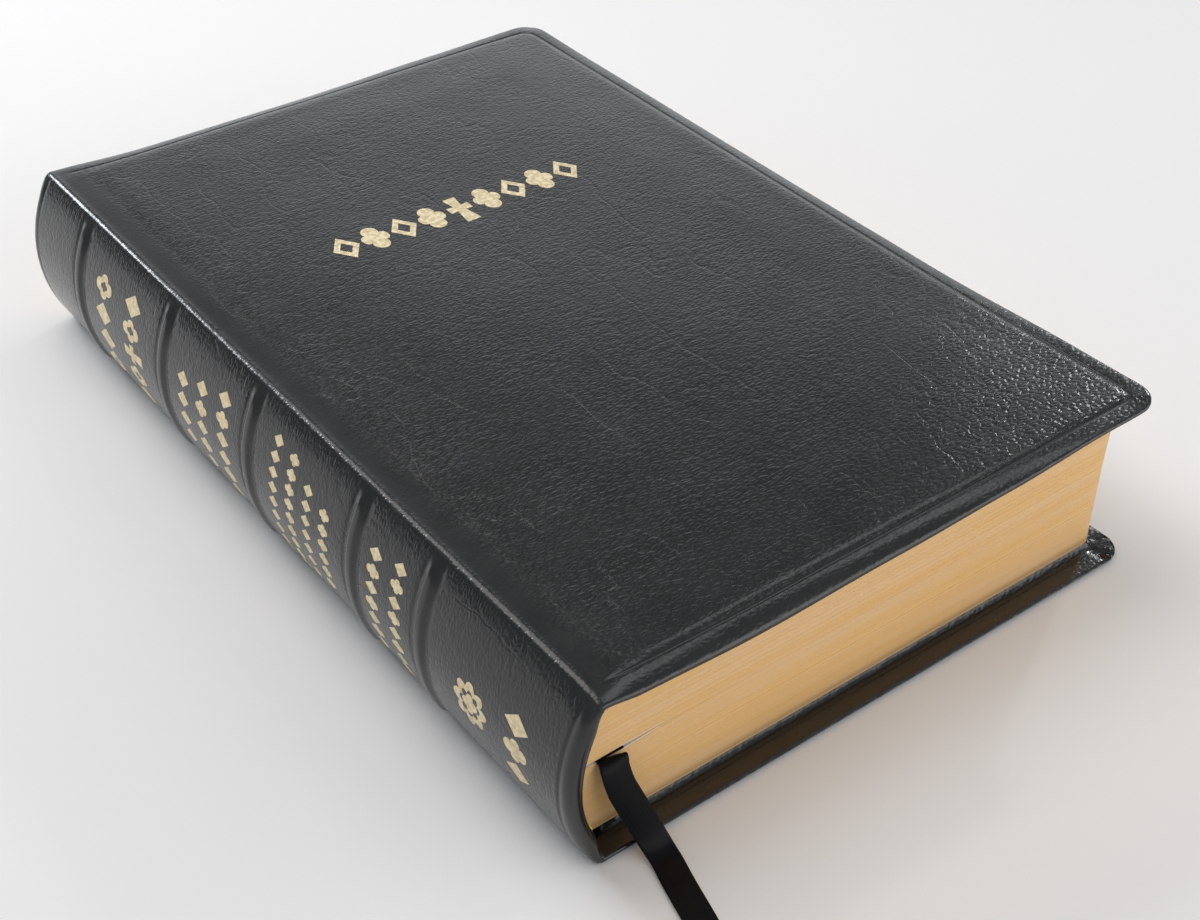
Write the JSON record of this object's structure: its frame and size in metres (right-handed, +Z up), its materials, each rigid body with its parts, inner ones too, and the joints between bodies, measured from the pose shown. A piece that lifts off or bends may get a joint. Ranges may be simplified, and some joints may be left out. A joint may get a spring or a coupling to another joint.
{
  "type": "leather-bound bible",
  "caption": "Closed thick bible in black bonded leather with a rounded ribbed spine, gilt-edged pages and a ribbon marker; the covers and first leaves open on hinges.",
  "frame": {"origin": "under the middle of the closed book, on the surface that its back cover rests on", "axes": "+X from the spine to the fore-edge, +Y from the tail to the head, +Z up through the front cover"},
  "size_m": [0.159, 0.2799, 0.044],
  "materials": {
    "bonded_leather": "satin",
    "cover_board": "matte",
    "endpaper": "matte",
    "gilt_edged_pages": "satin",
    "mull_gauze": "matte",
    "kraft_lining": "matte",
    "linen_thread": "matte",
    "band_cotton": "matte",
    "black_satin": "satin",
    "gilt_foil": "satin"
  },
  "bodies": {
    "back_cover": {"back_cover_leather": "bonded_leather", "back_board": "cover_board", "back_pastedown": "endpaper", "ribbon_tail": "black_satin"},
    "block": {"spine_leather": "bonded_leather", "spine_inlay": "cover_board", "spine_lining": "kraft_lining", "mull": "mull_gauze", "front_leaves_gutter": "gilt_edged_pages", "ribbon_marker": "black_satin", "section_01": "gilt_edged_pages", "section_02": "gilt_edged_pages", "section_03": "gilt_edged_pages", "section_04": "gilt_edged_pages", "section_05": "gilt_edged_pages", "section_06": "gilt_edged_pages", "section_07": "gilt_edged_pages", "section_08": "gilt_edged_pages", "section_09": "gilt_edged_pages", "section_10": "gilt_edged_pages", "section_11": "gilt_edged_pages", "section_12": "gilt_edged_pages", "sewing_thread_1": "linen_thread", "sewing_thread_2": "linen_thread", "sewing_thread_3": "linen_thread", "sewing_thread_4": "linen_thread", "sewing_thread_5": "linen_thread", "tail_band": "band_cotton", "head_band": "band_cotton"},
    "front_cover": {"front_cover_leather": "bonded_leather", "front_board": "cover_board", "front_pastedown": "endpaper"},
    "front_flyleaf": {"front_flyleaf": "endpaper"},
    "front_leaves_1": {"front_leaves_1": "gilt_edged_pages"},
    "front_leaves_2": {"front_leaves_2": "gilt_edged_pages"},
    "front_leaves_3": {"front_leaves_3": "gilt_edged_pages"},
    "front_leaves_4": {"front_leaves_4": "gilt_edged_pages"},
    "front_leaves_5": {"front_leaves_5": "gilt_edged_pages"},
    "rear_flyleaf": {"rear_flyleaf": "endpaper"}
  },
  "joints": [
    {"name": "back_cover_hinge", "type": "hinge", "parent": "back_cover", "child": "block", "pos_m": [-0.0725, 0, 0], "axis": [0, 1, 0], "range_deg": [-55, 0]},
    {"name": "front_cover_hinge", "type": "hinge", "parent": "block", "child": "front_cover", "pos_m": [-0.0725, 0, 0.044], "axis": [0, -1, 0], "range_deg": [0, 180]},
    {"name": "front_flyleaf_hinge", "type": "hinge", "parent": "block", "child": "front_flyleaf", "pos_m": [-0.0675, 0, 0.0406], "axis": [0, -1, 0], "range_deg": [0, 125]},
    {"name": "front_leaves_1_hinge", "type": "hinge", "parent": "block", "child": "front_leaves_1", "pos_m": [-0.0623, 0, 0.0393], "axis": [0, -1, 0], "range_deg": [0, 100]},
    {"name": "front_leaves_2_hinge", "type": "hinge", "parent": "block", "child": "front_leaves_2", "pos_m": [-0.0609, 0, 0.038], "axis": [0, -1, 0], "range_deg": [0, 80]},
    {"name": "front_leaves_3_hinge", "type": "hinge", "parent": "block", "child": "front_leaves_3", "pos_m": [-0.0595, 0, 0.0367], "axis": [0, -1, 0], "range_deg": [0, 60]},
    {"name": "front_leaves_4_hinge", "type": "hinge", "parent": "block", "child": "front_leaves_4", "pos_m": [-0.0581, 0, 0.0354], "axis": [0, -1, 0], "range_deg": [0, 40]},
    {"name": "front_leaves_5_hinge", "type": "hinge", "parent": "block", "child": "front_leaves_5", "pos_m": [-0.0567, 0, 0.0341], "axis": [0, -1, 0], "range_deg": [0, 20]},
    {"name": "rear_flyleaf_hinge", "type": "hinge", "parent": "block", "child": "rear_flyleaf", "pos_m": [-0.0675, 0, 0.0034], "axis": [0, 1, 0], "range_deg": [0, 27.5]}
  ],
  "couplings": [
    {"joint": "front_flyleaf_hinge", "follows": "front_cover_hinge", "ratio": 0.6944},
    {"joint": "front_leaves_1_hinge", "follows": "front_cover_hinge", "ratio": 0.5555},
    {"joint": "front_leaves_2_hinge", "follows": "front_cover_hinge", "ratio": 0.4444},
    {"joint": "front_leaves_3_hinge", "follows": "front_cover_hinge", "ratio": 0.3333},
    {"joint": "front_leaves_4_hinge", "follows": "front_cover_hinge", "ratio": 0.2222},
    {"joint": "front_leaves_5_hinge", "follows": "front_cover_hinge", "ratio": 0.1111},
    {"joint": "rear_flyleaf_hinge", "follows": "back_cover_hinge", "ratio": -0.5}
  ]
}
